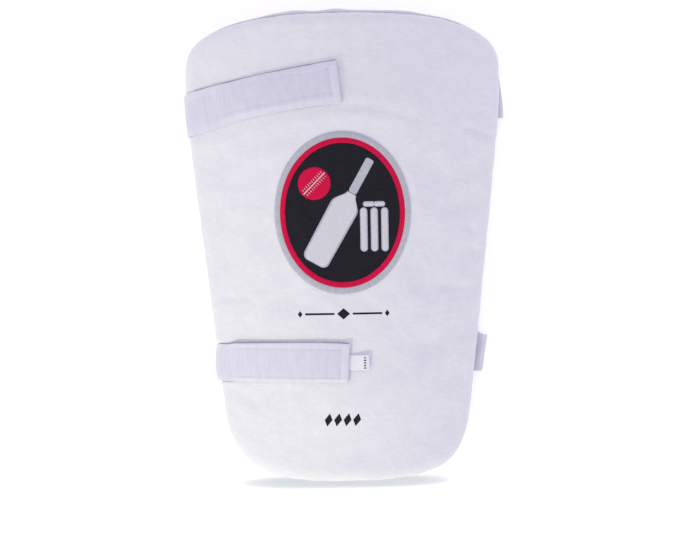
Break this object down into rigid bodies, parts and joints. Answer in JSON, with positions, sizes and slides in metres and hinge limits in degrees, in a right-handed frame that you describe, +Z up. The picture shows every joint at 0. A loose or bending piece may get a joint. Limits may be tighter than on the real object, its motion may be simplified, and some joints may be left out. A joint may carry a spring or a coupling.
{
  "type": "cricket thigh guard",
  "caption": "Arched foam thigh guard for batting, with a white cover and lining, wrap-round elastic straps fastened by hook patches, a woven size tag and a stitched badge.",
  "frame": {"origin": "on the surface that the guard lies on, under the middle of its outline", "axes": "+X across the guard to the sewn ends of its straps, +Y along it to its waist end, +Z up out of its face"},
  "size_m": [0.2585, 0.3728, 0.0664],
  "materials": {
    "cover_cloth": "white woven polyester over moulded foam",
    "lining_cloth": "soft white padded lining",
    "elastic": "white ribbed elastic webbing, slight sheen",
    "hook_tape": "white hook tape",
    "tag_satin": "white woven satin",
    "badge_stitching": "black embroidery with red and silver rings"
  },
  "bodies": {
    "root": {"front_pad": "cover_cloth", "back_lining": "lining_cloth", "upper_strap": "elastic", "lower_strap": "elastic", "upper_hook_patch": "hook_tape", "lower_hook_patch": "hook_tape", "size_tag": "tag_satin", "badge": "badge_stitching"}
  },
  "joints": []
}
